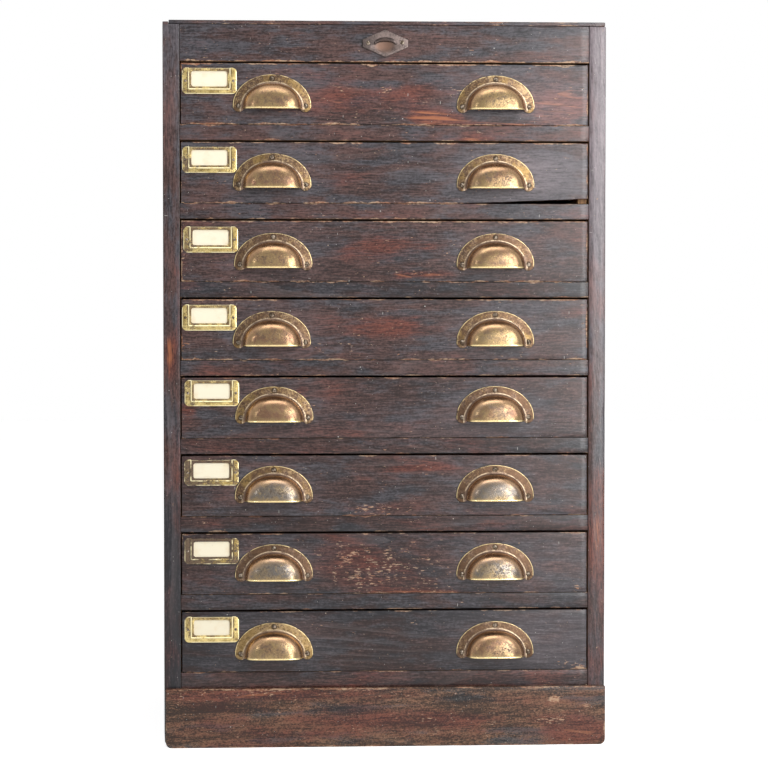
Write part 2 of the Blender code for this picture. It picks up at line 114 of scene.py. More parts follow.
# Linear colours of the wood
FINE_STAIN = {"brown": ((0.020, 0.010, 0.009), (0.128, 0.070, 0.063)),
              "slate": ((0.016, 0.015, 0.018), (0.094, 0.086, 0.098)),
              "line": (0.20, 0.165, 0.165)}
COARSE_STAIN = {"brown": ((0.030, 0.015, 0.009), (0.255, 0.132, 0.076)),
                "slate": ((0.010, 0.009, 0.010), (0.095, 0.086, 0.084)),
                "line": (0.30, 0.20, 0.135)}
STAIN_RED = ((0.040, 0.010, 0.008), (0.190, 0.055, 0.036))
STAIN_ORANGE = (0.33, 0.115, 0.052)
WORN_TAN = (0.50, 0.34, 0.22)
WORN_ORANGE = (0.32, 0.135, 0.070)
PAINT_SPECK = (0.62, 0.60, 0.56)
DUST_AND_SHEEN = (0.31, 0.25, 0.268)
EDGE_DIRT_AND_SHADE = (0.006, 0.005, 0.005)
WOOD_SPECULAR = 0.30
RAW_LIGHT = (0.36, 0.21, 0.10)
RAW_DARK = (0.17, 0.085, 0.038)

# Linear colours of the metal and the cards
BRASS_GOLD = (0.285, 0.200, 0.100)
BRASS_COPPER = (0.178, 0.098, 0.062)
BRASS_WALL = (0.270, 0.155, 0.092)
BRASS_CROWN = (0.600, 0.365, 0.205)
BRASS_GREY = (0.142, 0.128, 0.116)
BRASS_FOOT_HIGHLIGHT = (0.52, 0.42, 0.29)
BRASS_MAUVE_AND_SHEEN = (0.190, 0.128, 0.100)
BRASS_OLIVE = (0.205, 0.132, 0.054)
BRASS_BROWN = (0.092, 0.054, 0.034)
BRASS_STAIN = (0.060, 0.042, 0.028)
BRASS_RUBBED_AND_HIGHLIGHT = (0.80, 0.64, 0.34)
BRASS_DIRT_AND_SHADE = (0.030, 0.021, 0.014)
FRAME_YELLOW = (0.60, 0.47, 0.20)
FRAME_OLIVE = (0.28, 0.20, 0.072)
FRAME_DIRT_AND_SHADE = (0.105, 0.068, 0.046)
FRAME_RUBBED_AND_HIGHLIGHT = (0.86, 0.76, 0.47)
BRONZE_DULL = (0.150, 0.115, 0.104)
BRONZE_DARK = (0.050, 0.040, 0.038)
BRONZE_COPPER = (0.118, 0.070, 0.051)
SCREW_GREY = (0.26, 0.215, 0.17)
CARD_CREAM = (0.95, 0.87, 0.67)
CARD_STAIN = (0.84, 0.67, 0.43)
FOXING = (0.20, 0.10, 0.05)

# Wear, painted sheen and painted shade that the photograph shows: x, z, half length, half height in
# millimetres, then red, rub and a lightness shift
# Below 0 it darkens: painted shade low on the sides and along the bottom board's foot, dark bands on the
# plinth
# The last value above 0 lightens towards dust, and towards painted sheen at the drawers' right ends and high
# on the sides
PATCHES = {
    "drawer_1_front": [
        (67, 824, 42, 10, 1.1, 0.1, 0), (222, 846, 52, 34, 0.75, 0.1, 0.28), (150, 815, 60, 9, 0.8, 0, 0),
        (-40, 842, 110, 22, 0.55, 0.25, 0), (60, 862, 60, 10, 0.4, 0.3, 0),
    ],
    "drawer_2_front": [
        (25, 775, 40, 10, 0.45, 0, 0), (-55, 745, 40, 14, 0.5, 0.1, 0), (190, 750, 90, 30, 0, 0, 0.45),
    ],
    "drawer_3_front": [
        (48, 619, 40, 6, 1.0, 0.2, 0), (0, 655, 70, 25, 0.5, 0.1, 0), (-263, 640, 6, 40, 0.3, 0.9, 0),
    ],
    "drawer_4_front": [
        (0, 548, 80, 14, 0.6, 0.1, 0), (262, 560, 6, 30, 0, 0.7, 0), (-262, 525, 6, 20, 0, 0.9, 0),
    ],
    "drawer_5_front": [
        (-110, 470, 9, 5, 1.1, 0, 0), (-258, 440, 12, 14, 0.6, 0, 0), (100, 420, 160, 30, 0, 0, 0.15),
    ],
    "drawer_6_front": [(45, 366, 48, 7, 0.8, 0.2, 0), (-10, 311, 60, 9, 0.2, 1.0, 0)],
    "drawer_7_front": [
        (5, 232, 95, 40, 0.3, 0.85, 0), (-60, 255, 50, 20, 0.2, 0.4, 0), (255, 215, 12, 16, 0, 0.8, 0),
        (50, 202, 70, 3, 0.7, 0.2, 0), (240, 240, 60, 50, 0, 0, 0.15),
    ],
    "drawer_8_front": [
        (256, 101, 14, 3, 0.2, 2.6, 0), (252, 105, 22, 5, 0.4, 1.2, 0), (240, 140, 80, 50, 0, 0, 0.3),
    ],
    "top_rail": [(0, 945, 400, 8, 0, -2.5, 0)],
    "divider_1": [(118, 797, 26, 5, 0.9, 0.8, 0)],
    "left_side": [
        (-280, 515, 9, 36, 1.0, 0.2, 0), (-280, 110, 60, 270, 0.1, 0, -0.34), (-280, 900, 60, 90, 0, 0, 0.2),
    ],
    "right_side": [
        (285, 300, 12, 70, 0.7, 0, 0), (285, 900, 30, 350, 0.35, 0, 0.9), (285, 200, 30, 220, 0.2, 0, -0.1),
    ],
    # Painted shadow along the bottom board's foot, above the plinth
    "bottom_board": [(80, 79, 200, 3, 0, -0.5, -0.45), (-180, 79, 100, 2, 0, -0.5, -0.35)],
    "plinth_front": [
        (221, 60, 8, 5, 0.3, 2.6, 0), (262, 54, 7, 3, 0.3, 2.2, 0), (218, 38, 24, 4, 0.4, 1.9, 0),
        (-10, 74, 30, 4, 0.2, 0.8, 0), (-140, 70, 150, 8, 0.75, 0.3, 0), (-150, 77, 140, 2, 0, 0.7, 0),
        (255, 18, 40, 16, 0.75, 0, 0), (-225, 63, 60, 3, 0.2, 0.9, 0), (-215, 53, 66, 5, 0, 0, -0.40),
        (-50, 50, 56, 8, 0, 0, -0.35), (-160, 14, 90, 4, 0, 0, -0.35), (40, 36, 120, 12, 0.5, 0.35, 0),
        (110, 60, 50, 6, 0, 0, -0.30),
    ],
}
# Red, wear and lightness of whole boards; the lightness falls towards the foot, partly as painted shade
PLAIN_TONE = (0.0, 0.5, 0.0)
TONES = {
    "left_side": (0.05, -1.0, 0.08),
    "right_side": (0.05, -1.0, 0.08),
    "top_board": (0.0, 0.5, 0.1),
    "plinth_front": (0.12, 0.9, 0.05),
    "top_rail": (0.0, 1.3, 0.03),
    "drawer_1_front": (0.0, 1.15, 0.03),
    "drawer_2_front": (-0.02, 1.05, 0.02),
    "drawer_3_front": (0.05, 1.05, -0.02),
    "drawer_4_front": (0.03, 1.0, -0.01),
    "drawer_5_front": (0.05, 0.4, -0.07),
    "drawer_6_front": (0.02, 0.4, -0.05),
    "drawer_7_front": (0.06, 0.5, -0.12),
    "drawer_8_front": (-0.03, 0.4, -0.22),
    "divider_1": (0.06, 0.6, 0.10),
    "divider_2": (0.02, 0.6, 0.05),
    "divider_3": (0.0, 0.5, -0.18),
    "divider_4": (0.02, 0.4, -0.04),
    "divider_5": (0.06, 0.3, -0.13),
    "divider_6": (0.06, 0.3, -0.15),
    "divider_7": (0.0, 0.3, -0.10),
    "bottom_board": (0.12, 0.5, -0.05),
}
# Copper, grey and tarnish of each cup and how brown its flange is, from the top drawer down
PULL_TONES = {
    "left": [(0.50, 0.0, 0.9, 0.4), (0.70, 0.0, 0.8, 0.4), (0.55, 0.0, 0.9, 0.7), (0.80, 0.1, 0.9, 0.6),
             (0.80, 0.1, 0.5, 0.4), (0.50, 0.8, 1.0, 0.5), (0.30, 0.9, 1.0, 1.2), (0.45, 0.3, 0.9, 0.0)],
    "right": [(0.30, 0.1, 0.9, 0.4), (0.70, 0.2, 1.0, 0.4), (0.55, 0.25, 0.4, 0.9), (0.35, 0.25, 0.7, 0.5),
              (0.65, 0.3, 0.5, 1.0), (0.60, 0.7, 0.4, 0.9), (0.65, 0.8, 1.0, 1.2), (0.75, 0.2, 0.9, 0.9)],
}
FRAME_DIRT = [0.25, 0.35, 0.35, 0.2, 0.25, 0.75, 0.95, 0.05]


class Field:
    """A value that varies over a surface: a socket of a material's graph that arithmetic works on."""

    def __init__(self, graph, socket):
        self.graph = graph
        self.socket = socket

    def __add__(self, other):
        return self.graph.math("ADD", self, other)

    def __mul__(self, other):
        return self.graph.math("MULTIPLY", self, other)

    def __sub__(self, other):
        return self.graph.math("SUBTRACT", self, other)

    def __rsub__(self, other):
        return self.graph.math("SUBTRACT", other, self)

    def __pow__(self, other):
        return self.graph.math("POWER", self, other)

    def __truediv__(self, other):
        return self * (1 / other)

    def __abs__(self):
        return self.graph.math("ABSOLUTE", self, 0.0)

    __radd__ = __add__
    __rmul__ = __mul__

    def least(self, other):
        return self.graph.math("MINIMUM", self, other)

    def most(self, other):
        return self.graph.math("MAXIMUM", self, other)

    def ramp(self, start, end):
        """0 up to start, 1 from end on, smooth between; start may be the greater one."""
        inputs = {"Value": self, "From Min": start, "From Max": end}
        node = self.graph.add("ShaderNodeMapRange", inputs, interpolation_type="SMOOTHSTEP")
        return Field(self.graph, node.outputs["Result"])


class Graph:
    """The nodes of a material or a world, with short calls for the kinds used here."""

    def __init__(self, owner, shader="Principled BSDF"):
        owner.use_nodes = True
        self.owner = owner
        self.tree = owner.node_tree
        self.shader = self.tree.nodes[shader]

    def feed(self, socket, value):
        if isinstance(value, Field):
            self.tree.links.new(value.socket, socket)
        elif socket.type == "RGBA" and len(value) == 3:
            socket.default_value = (*value, 1.0)
        else:
            socket.default_value = value

    def add(self, kind, inputs, **settings):
        node = self.tree.nodes.new(kind)
        for name, value in settings.items():
            setattr(node, name, value)
        for key, value in inputs.items():
            self.feed(node.inputs[key], value)
        return node

    def math(self, operation, first, second):
        node = self.add("ShaderNodeMath", {0: first, 1: second}, operation=operation)
        return Field(self, node.outputs[0])

    def vector(self, operation, first, second):
        node = self.add("ShaderNodeVectorMath", {0: first, 1: second}, operation=operation)
        return Field(self, node.outputs[0])

    def attribute(self, name, output="Vector"):
        node = self.add("ShaderNodeAttribute", {}, attribute_name=name)
        return Field(self, node.outputs[output])

    def split(self, vector):
        node = self.add("ShaderNodeSeparateXYZ", {0: vector})
        return [Field(self, socket) for socket in node.outputs]

    def noise(self, place, scale, detail=2.0, roughness=0.5):
        inputs = {"Vector": self.vector("MULTIPLY", place, scale), "Scale": 1.0,
                  "Detail": detail, "Roughness": roughness}
        return Field(self, self.add("ShaderNodeTexNoise", inputs).outputs[0])

    def rings(self, place, spacing, wobble):
        """Growth rings about the grain's own axis, dark to light across each ring."""
        inputs = {"Vector": self.vector("MULTIPLY", place, (0.12, 1, 1)), "Scale": math.pi / 10 / spacing,
                  "Distortion": wobble, "Detail": 2.0, "Detail Scale": 0.6}
        node = self.add("ShaderNodeTexWave", inputs, wave_type="RINGS", rings_direction="X",
                        wave_profile="SAW")
        return Field(self, node.outputs["Fac"])

    def specks(self, place, scale, size, share):
        """Round dots in a share of the cells of a scattered pattern."""
        inputs = {"Vector": self.vector("MULTIPLY", place, scale), "Scale": 1.0}
        node = self.add("ShaderNodeTexVoronoi", inputs)
        chosen = self.split(Field(self, node.outputs["Color"]))
        dot = Field(self, node.outputs["Distance"]).ramp(size, size * 0.6)
        return dot * chosen[0].ramp(share, share * 0.98)

    def mix(self, share, first, second):
        inputs = {0: share, 6: first, 7: second}
        node = self.add("ShaderNodeMix", inputs, data_type="RGBA", clamp_factor=True)
        return Field(self, node.outputs[2])

    def finish(self, colour, roughness, height, strength, metallic=0.0, distance=MM):
        bump = self.add("ShaderNodeBump", {"Height": height, "Strength": strength, "Distance": distance})
        self.feed(self.shader.inputs["Base Color"], colour)
        self.feed(self.shader.inputs["Roughness"], roughness)
        self.feed(self.shader.inputs["Metallic"], metallic)
        self.feed(self.shader.inputs["Normal"], Field(self, bump.outputs[0]))
        return self.owner

    def seen(self):
        """1 on rays from the camera, in reflections and through glass, 0 on rays that only gather light."""
        path = self.add("ShaderNodeLightPath", {})
        rays = [Field(self, path.outputs[f"Is {kind} Ray"]) for kind in ("Camera", "Glossy", "Transmission")]
        return rays[0].most(rays[1]).most(rays[2])


# Materials


def pine(name, palette, coarseness):
    """Dark stain over pine: streaked, rubbed through in places, with dust, painted sheen and painted shade in
    patches, and bare on the faces marked raw.
    """
    g = Graph(bpy.data.materials.new(name))
    grain = g.attribute("grain")
    red_tone, wear_tone, lightness_and_shade = g.split(g.attribute("tone"))
    red_patch, rub_patch, dust_sheen_shade_patch = g.split(g.attribute("patch"))
    raw = g.attribute("raw", "Fac")
    near = g.split(g.vector("MINIMUM", g.attribute("low"), g.attribute("high")))
    edge = near[0].least(near[1]).most(near[0].most(near[1]).least(near[2]))

    fine = g.noise(grain, (60, 600, 600), 2, 0.6)
    streak = g.noise(grain, (16, 240, 240), 3, 0.6)
    band = g.noise(grain, (3, 60, 60), 3)
    cloud = g.noise(grain, (9, 30, 30), 3)
    hue = g.noise(grain, (15, 52, 52), 3, 0.55)
    mottle = g.noise(grain, (260, 420, 420), 2, 0.6)
    blotch = g.noise(grain, (30, 45, 45), 3)
    rings = g.rings(grain, 0.0050, 4.0)
    ring_line = rings.ramp(0.55, 1.0) * g.noise(grain, (5, 16, 16)).ramp(0.50, 0.68)

    # Where the patch's last value is below 0 the stain darkens: painted shade on the sides and the bottom
    # board, dark bands on the plinth
    sunk = dust_sheen_shade_patch.least(0.0)
    tone = fine * 1.2 + streak * 0.4 + mottle * 0.9 + cloud * 0.5 + lightness_and_shade - 1.52
    grit = g.noise(grain, (420, 640, 640), 2, 0.7)
    tone = tone + (band * 1.3 + streak * 0.6 + grit * 1.7 - 1.90) * coarseness + sunk
    light = tone.ramp(-0.42, 0.42)
    cool = hue + mottle * 0.18 + fine * 0.12 + dust_sheen_shade_patch * 0.25 - sunk * 0.9 - red_tone - 0.160
    cool = (cool + (band * 1.2 - grit * 0.4 - 0.4) * coarseness).ramp(0.39, 0.61)
    brown = g.mix(light, *palette["brown"])
    stain = g.mix(cool, brown, g.mix(light, *palette["slate"]))
    redness = cloud * 0.7 + blotch * 0.3 + fine * 0.25 + red_tone + red_patch * 0.42 - dust_sheen_shade_patch * 0.2
    stain = g.mix(redness.ramp(0.66, 0.98) * 0.85, stain, g.mix(light, *STAIN_RED))
    orange = red_patch * 0.8 + streak * 0.6 + fine * 0.5 + rings * 0.5
    stain = g.mix(orange.ramp(1.40, 1.78), stain, STAIN_ORANGE)
    stain = g.mix(ring_line * 0.18, stain, palette["line"])
    # Lighter mauve where the patch's last value is above 0: dust, and painted sheen towards the right
    stain = g.mix(dust_sheen_shade_patch * (streak + fine * 0.9 + mottle * 0.4 - 0.6), stain, DUST_AND_SHEEN)
    # Darker within a millimetre of each board's edge: dirt, and painted shade along the seams between boards
    stain = g.mix(edge.ramp(0.0011, 0.0003) * 0.6, stain, EDGE_DIRT_AND_SHADE)

    fleck = g.noise(grain, (140, 540, 540), 2, 0.6) * 0.75 + g.noise(grain, (55, 110, 110), 2) * 0.35
    fleck = fleck + rub_patch * 0.13 + wear_tone * 0.015 + coarseness * 0.02
    reach = g.noise(grain, (36, 50, 50), 4, 0.6) * 0.0125 - 0.0073 + wear_tone * 0.0017 + rub_patch * 0.0014
    line = edge.ramp(reach + 0.0003, reach - 0.0003) * (fine + mottle).ramp(0.72, 1.02)
    worn = fleck.ramp(0.74, 0.79).most(line * (0.55 + wear_tone * 0.35))
    bared = g.mix((blotch * 0.5 + mottle * 0.6).ramp(0.47, 0.64), WORN_ORANGE, WORN_TAN)
    stain = g.mix(worn * 0.85, stain, bared)
    nick = g.specks(grain, (330, 50, 50), 0.13, 0.02)
    stain = g.mix(nick * 0.7, stain, PAINT_SPECK)
    dot = g.specks(grain, (190, 190, 190), 0.095, 0.25 + coarseness * 0.5)
    dot = dot.most(g.specks(grain, (85, 85, 85), 0.075, 0.12))
    stain = g.mix(dot * 0.75, stain, g.mix(blotch.ramp(0.45, 0.55), PAINT_SPECK, WORN_TAN))

    bare = g.mix((rings * 0.6 + streak * 0.5 + cloud * 0.4).ramp(0.45, 1.05), RAW_DARK, RAW_LIGHT)
    bare = g.mix(g.noise(grain, (9, 30, 30), 4).ramp(0.52, 0.75) * 0.45, bare, RAW_DARK)
    colour = g.mix(raw, stain, bare)
    polish = 0.21 + streak * 0.06 + worn * 0.25 + raw * 0.40
    height = rings * 0.2 + fine * 0.4 + streak * 0.25 - worn * 0.5 - nick * 0.3
    g.feed(g.shader.inputs["Specular IOR Level"], WOOD_SPECULAR)
    return g.finish(colour, polish, height, 0.25)


def pull_brass():
    """Tarnished cup pull: patched mustard flange, coppery wall, rubbed coppery or golden face, rubbed lip
    with a painted highlight.
    """
    g = Graph(bpy.data.materials.new("pull_brass"))
    place = g.attribute("place")
    copper, grey, tarnish = g.split(g.attribute("tone"))
    browned = g.attribute("browned", "Fac")
    across, depth, height = g.split(g.attribute("spot"))
    arch = (across / FLANGE_HALF) ** 2.0 + (height.most(0.0) / FLANGE_RISE) ** 2.0
    from_rim = (1.0 - arch ** 0.5) * 45.0
    cup = ((across / HOOD_HALF) ** 2.0 + ((height - HOOD_FOOT) / HOOD_RISE) ** 2.0) ** 0.5
    on_cup = depth.ramp(-3.2, -4.2)
    on_face = depth.ramp(-16.0, -24.5)

    patch = g.noise(place, (48, 48, 48), 3, 0.55)
    cloud = g.noise(place, (110, 110, 110), 3)
    grit = g.noise(place, (620, 620, 620), 3, 0.6)
    pit = g.noise(place, (330, 330, 330), 2)
    flange = g.mix((patch + cloud * 0.3 + browned * 0.45 - 0.15).ramp(0.53, 0.69), BRASS_OLIVE, BRASS_BROWN)
    flange = g.mix((patch * 0.6 - cloud).ramp(-0.22, -0.02) * 0.45, flange, BRASS_MAUVE_AND_SHEEN)
    flange = g.mix((pit * 0.4 + grit * 0.7 + cloud * 0.3).ramp(0.76, 0.52) * 0.7, flange, BRASS_DIRT_AND_SHADE)
    gilt = pit * 0.4 + grit * 0.7 + patch * 0.4 - browned * 0.1
    flange = g.mix(gilt.ramp(0.68, 0.90) * 0.75, flange, BRASS_GOLD)
    side = abs(across)
    ear = (side - EAR_SCREW_X) ** 2.0 + (height - EAR_SCREW_Z) ** 2.0
    crown = across ** 2.0 + (height - CROWN_SCREW_Z) ** 2.0
    # Dark ring round each screw head: painted shade where the head meets the flange, with dirt
    flange = g.mix(ear.least(crown).ramp(19.0, 10.0) * 0.85, flange, BRASS_DIRT_AND_SHADE)
    # Mauve-grey band on the fillet round the hood: a painted reflection over the patina
    flange = g.mix(cup.ramp(1.10, 1.05) * (0.25 + cloud * 0.7), flange, BRASS_MAUVE_AND_SHEEN)

    face = g.mix((copper + cloud * 1.2 - 0.6).ramp(0.1, 0.9), BRASS_GOLD, BRASS_COPPER)
    face = g.mix((grey + patch + cloud * 0.5 - 0.75).ramp(0.15, 0.75), face, BRASS_GREY)
    face = g.mix((patch - cloud * 0.3).ramp(0.30, 0.50) * 0.45, face, BRASS_GOLD)
    face = g.mix((height + cloud * 12.0).ramp(9.0, 2.0) * 0.75, face, BRASS_GOLD)
    middle = ((across / 26.0) ** 2.0 + ((height - 8.0) / 11.0) ** 2.0).ramp(1.3, 0.3)
    face = g.mix((pit + grit * 0.3).ramp(0.60, 0.46) * 0.6 * tarnish, face, BRASS_GOLD)
    haze = (grit * 0.8 + pit * 0.4 + cloud * 0.3).ramp(0.68, 0.92)
    haze = haze * (0.1 + tarnish * 0.9) * (0.25 + middle * 0.75)
    face = g.mix(haze, face, BRASS_STAIN)
    wall = g.mix((cloud + grit * 0.4).ramp(0.38, 0.66), BRASS_WALL, BRASS_CROWN)
    dome = g.mix(on_face, wall, face)
    metal = g.mix(on_cup, flange, dome)

    # Pale line round the hood's foot: a painted highlight
    foot = cup.ramp(1.118, 1.100) * cup.ramp(1.065, 1.085)
    metal = g.mix(foot * (cloud + grit * 0.6).ramp(0.62, 0.92) * 0.65, metal, BRASS_FOOT_HIGHLIGHT)
    # Dark line where the hood meets the flange: painted shade in the crease, with dirt
    seam = depth.ramp(-3.2, -4.0) * depth.ramp(-6.4, -4.8) * cup.ramp(0.90, 0.97)
    metal = g.mix(seam * 0.45, metal, BRASS_DIRT_AND_SHADE)
    # Bright rim of the flange and bright lip: rubbed brass with a painted highlight
    rim = from_rim.ramp(1.0, 0.45) * depth.ramp(-2.6, -2.0) * (cloud + grit * 0.4).ramp(0.48, 0.78) * 0.8
    lip = height.ramp(-2.9, -3.8) * depth.ramp(-9.0, -16.0) * (grit + cloud * 0.4).ramp(0.40, 0.62)
    metal = g.mix(rim.most(lip), metal, BRASS_RUBBED_AND_HIGHLIGHT)
    dirt = seam.most(haze * on_face)
    polish = 0.18 + cloud * 0.14 + dirt * 0.25 + (1.0 - on_cup) * 0.14
    return g.finish(metal, polish, grit * 0.6 + cloud * 0.2 - dirt * 0.4, 0.2, 1.0 - dirt * 0.4)


def frame_brass():
    """Yellow stamped brass with brown dirt and painted shade beside its ridges and round the window, and
    painted highlights on its rim.
    """
    g = Graph(bpy.data.materials.new("frame_brass"))
    place = g.attribute("place")
    dirty = g.split(g.attribute("tone"))[0]
    across, depth, height = g.split(g.attribute("spot"))
    side = abs(across)
    cloud = g.noise(place, (90, 90, 90), 3)
    grit = g.noise(place, (600, 600, 600), 3, 0.6)
    soil = cloud * 0.6 + grit * 0.4 + dirty * 0.22
    metal = g.mix(soil.ramp(0.66, 0.42), FRAME_OLIVE, FRAME_YELLOW)
    caked = g.noise(place, (75, 75, 75), 3, 0.6) * 1.4 + grit * 0.5 + dirty * 0.6 - across * 0.005
    caked = caked.ramp(1.20, 1.50)
    metal = g.mix(caked * 0.9, metal, FRAME_DIRT_AND_SHADE)
    # Brown beside the ridges, under the cover and round the window: tarnish with painted shade in the
    # channels
    within = side.ramp(26.4, 25.6) * height.ramp(6.8, 7.8)
    below = height.ramp(5.2, 4.6) * height.ramp(3.0, 4.0)
    beside = side.ramp(27.4, 28.0) * side.ramp(29.8, 28.6).most(below)
    metal = g.mix(within.most(beside) * soil.ramp(0.36, 0.66) * 0.9, metal, FRAME_DIRT_AND_SHADE)
    metal = g.mix((grit + dirty * 0.10).ramp(0.62, 0.72) * 0.8, metal, BRASS_DIRT_AND_SHADE)
    # Bright outer rim and ridge tops where the brass is rubbed: a painted highlight
    rim = side.ramp(34.2, 35.0).most(height.ramp(1.3, 0.5)).most(height.ramp(32.7, 33.5))
    ridge = depth.ramp(-2.15, -2.5)
    rubbed = (cloud - dirty * 0.08 - caked * 0.08).ramp(0.28, 0.48)
    metal = g.mix(rim.most(ridge) * rubbed * 0.9, metal, FRAME_RUBBED_AND_HIGHLIGHT)
    polish = 0.22 + cloud * 0.16 + within * 0.15 + caked * 0.2
    return g.finish(metal, polish, grit * 0.5 + cloud * 0.6, 0.2, 0.95 - caked * 0.5)


def dull_bronze():
    """Brown-grey lozenge plate with a dark brow, coppery where thumbs have rubbed the dish."""
    g = Graph(bpy.data.materials.new("dull_bronze"))
    place = g.attribute("place")
    across, depth, height = g.split(g.attribute("spot"))
    cloud = g.noise(place, (110, 110, 110), 3)
    grit = g.noise(place, (700, 700, 700), 3, 0.6)
    metal = g.mix((cloud * 0.7 + grit * 0.8).ramp(0.50, 0.92), BRONZE_DARK, BRONZE_DULL)
    metal = g.mix((across + cloud * 24.0).ramp(4.0, -12.0) * 0.5, metal, BRONZE_DARK)
    dish = (((across + 1.0) / 13.0) ** 2.0 + ((height + 3.0) / 9.0) ** 2.0).ramp(1.5, 0.2)
    metal = g.mix(dish * (cloud + grit * 0.3).ramp(0.20, 0.70), metal, BRONZE_COPPER)
    brow = depth.ramp(-2.7, -3.3)
    metal = g.mix(brow * 0.6, metal, BRONZE_DARK)
    return g.finish(metal, 0.36 + cloud * 0.2 - brow * 0.22, grit * 0.6 + cloud, 0.25, 0.9)


def screw_metal():
    """Greyed brass, dark in places."""
    g = Graph(bpy.data.materials.new("screw_metal"))
    place = g.attribute("place")
    cloud = g.noise(place, (400, 400, 400), 2)
    metal = g.mix(cloud.ramp(0.4, 0.65), BRASS_STAIN, SCREW_GREY)
    return g.finish(metal, 0.28 + cloud * 0.3, cloud, 0.2, 0.9)


def card_paper():
    """Bare aged card, browner along its edges, with faint foxing."""
    g = Graph(bpy.data.materials.new("card_paper"))
    place = g.attribute("place")
    across = g.split(g.attribute("spot"))[0]
    cloud = g.noise(place, (70, 70, 70), 4)
    fibre = g.noise(place, (1500, 600, 600), 2)
    brown = abs(across).ramp(16.0, 27.0) * 0.35 + cloud.ramp(0.50, 0.75) * 0.4
    paper = g.mix(brown, CARD_CREAM, CARD_STAIN)
    paper = g.mix(g.specks(place, (260, 260, 260), 0.10, 0.06) * 0.5, paper, FOXING)
    return g.finish(paper, 0.85 + fibre * 0.1, fibre + cloud * 0.5, 0.12)


# Meshes


def linked(name, data):
    """A new object in the scene."""
    obj = bpy.data.objects.new(name, data)
    bpy.context.scene.collection.objects.link(obj)
    return obj


def face_outward(mesh, weld=0.0):
    """Turn a mesh's faces outward, with points closer than weld made one."""
    bm = bmesh.new()
    bm.from_mesh(mesh)
    if weld:
        bmesh.ops.remove_doubles(bm, verts=bm.verts, dist=weld)
    bmesh.ops.recalc_face_normals(bm, faces=bm.faces)
    bm.to_mesh(mesh)
    bm.free()


def set_field(mesh, name, values, kind="FLOAT_VECTOR", domain="POINT"):
    """Store values on a mesh under the name that a material reads."""
    attribute = mesh.attributes.new(name, kind, domain)
    key = "value" if kind == "FLOAT" else "vector"
    attribute.data.foreach_set(key, np.asarray(values, np.float32).ravel())


def smooth(mesh, degrees=35):
    mesh.shade_smooth()
    mesh.set_sharp_from_angle(angle=math.radians(degrees))


def dress(name, mesh, material, body, nodes=()):
    """A finished piece, riding on its body in place of the CAD nodes that it stands for."""
    mesh.name = name
    mesh.materials.clear()
    mesh.materials.append(material)
    smooth(mesh)
    piece = linked(name, mesh)
    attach(piece, body)
    if nodes:
        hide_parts(*nodes)
    return piece


def ring_points(corners, radii, inset, splits):
    """A board's outline across the grain: rounded corners, and extra points on the sides named in splits."""
    count = len(corners)
    corners = [Vector(c) for c in corners]
    ways = [(corners[(i + 1) % count] - corners[i]).normalized() for i in range(count)]
    moved = []
    for i in range(count):
        before, after = ways[i - 1], ways[i]
        moved.append(corners[i] + inset * Vector((-before.y - after.y, before.x + after.x)))
    points = []
    for i in range(count):
        before, after = ways[i - 1], ways[i]
        centre = moved[i] + radii[i] * (after - before)
        for step in range(ROUND_STEPS + 1):
            angle = math.pi / 2 * step / ROUND_STEPS
            points.append(centre + radii[i] * (before * math.sin(angle) - after * math.cos(angle)))
        following = (i + 1) % count
        start = moved[i] + radii[i] * after
        end = moved[following] - radii[following] * after
        for step in range(1, splits.get(i, 0) + 1):
            points.append(start.lerp(end, step / (splits[i] + 1)))
    return points


def timber(axis, low, high, seed, outline=None, radius=0.9 * MM, nick=1.7 * MM, spacing=11 * MM,
           extra=(), splits=None, raw=None, open_ends=False):
    """One board with its grain along axis and softened, nicked edges.

    outline gives the corners at a place along the grain, extra adds places, splits adds points to some of the
    outline's sides, and raw tells which faces are bare.
    """
    low, high = Vector(low), Vector(high)
    u, v = (axis + 1) % 3, (axis + 2) % 3
    if outline is None:
        def outline(_):
            return [(low[u], low[v]), (high[u], low[v]), (high[u], high[v]), (low[u], high[v])]
    length = high[axis] - low[axis]
    count = max(3, round(length / spacing))
    inner = [low[axis] + radius + (length - 2 * radius) * i / count for i in range(count + 1)]
    places = sorted((place, 0.0) for place in [*inner, *extra])
    for step in reversed(range(ROUND_STEPS)):
        angle = math.pi / 2 * step / ROUND_STEPS
        inset = radius * (1 - math.sin(angle))
        back = radius * (1 - math.cos(angle))
        places.insert(0, (low[axis] + back, inset))
        places.append((high[axis] - back, inset))
    rows = []
    for place, inset in places:
        corners = outline(place)
        radii = []
        for i in range(len(corners)):
            rough = noise.noise(Vector((place * 28, i * 5.3, seed * 3.7)))
            rough += 0.5 * noise.noise(Vector((place * 90, i * 5.3 + 40, seed * 3.7)))
            radii.append(radius * 0.7 + nick * max(0.0, rough) ** 2)
        rows.append([(place, *p) for p in ring_points(corners, radii, inset, splits or {})])
    local = np.array(rows, float)
    stations, around = local.shape[:2]
    points = np.zeros((stations * around, 3))
    points[:, [axis, u, v]] = local.reshape(-1, 3)
    faces = [tuple(range(around)), tuple(reversed(range((stations - 1) * around, stations * around)))]
    for s in range(stations - 1):
        for i in range(around):
            j = (i + 1) % around
            faces.append((s * around + j, s * around + i, (s + 1) * around + i, (s + 1) * around + j))
    dice = random.Random(seed)
    middle = (low + high) / 2
    along = points[:, axis] - middle[axis]
    grain = np.stack([
        along + dice.uniform(0, 20),
        points[:, v] - middle[v] + dice.uniform(-0.05, 0.05) + along * dice.uniform(-0.03, 0.03),
        points[:, u] - middle[u] + dice.choice((-1, 1)) * dice.uniform(0.02, 0.09)
        + along * dice.uniform(-0.06, 0.06),
    ], axis=1)
    order = [axis, v, u]
    ends = np.array((1.0 if open_ends else 0.7 * MM, 0, 0))
    from_low = (points - np.array(low))[:, order] + ends
    from_high = (np.array(high) - points)[:, order] + ends
    return {"points": points, "faces": faces, "grain": grain, "raw": raw, "low": from_low, "high": from_high}


